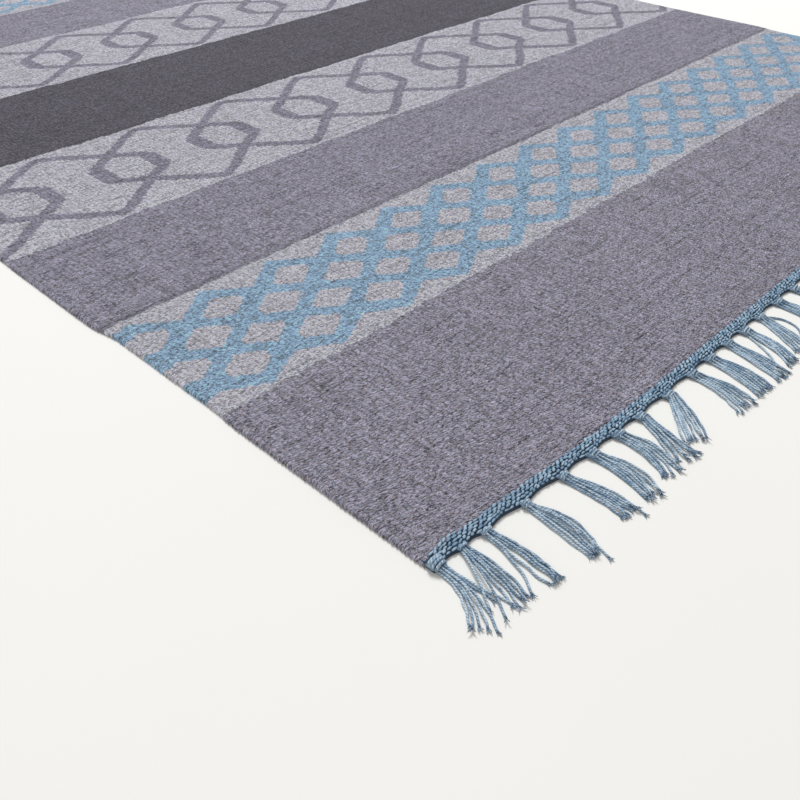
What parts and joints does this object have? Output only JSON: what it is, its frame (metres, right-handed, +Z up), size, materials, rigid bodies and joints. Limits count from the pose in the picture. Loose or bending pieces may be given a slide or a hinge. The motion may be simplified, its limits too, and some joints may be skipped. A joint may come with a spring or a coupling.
{
  "type": "kilim",
  "caption": "Flat-woven wool kilim lying flat: plum, light grey and charcoal bands, a blue lattice and a grey scroll band, corded blue end borders and knotted tassels.",
  "frame": {"origin": "middle of the cloth's flat underside, on the floor", "axes": "+X across the rug, +Y along its length from the front fringe to the back one, +Z up"},
  "size_m": [1.4307, 2.1349, 0.0088],
  "materials": {
    "woven_wool": "matte melange wool, weft-faced weave",
    "blue_cord": "matte plied cotton and wool cord"
  },
  "bodies": {
    "root": {"cloth": "woven_wool", "front_fringe": "blue_cord", "back_fringe": "blue_cord"}
  },
  "joints": []
}
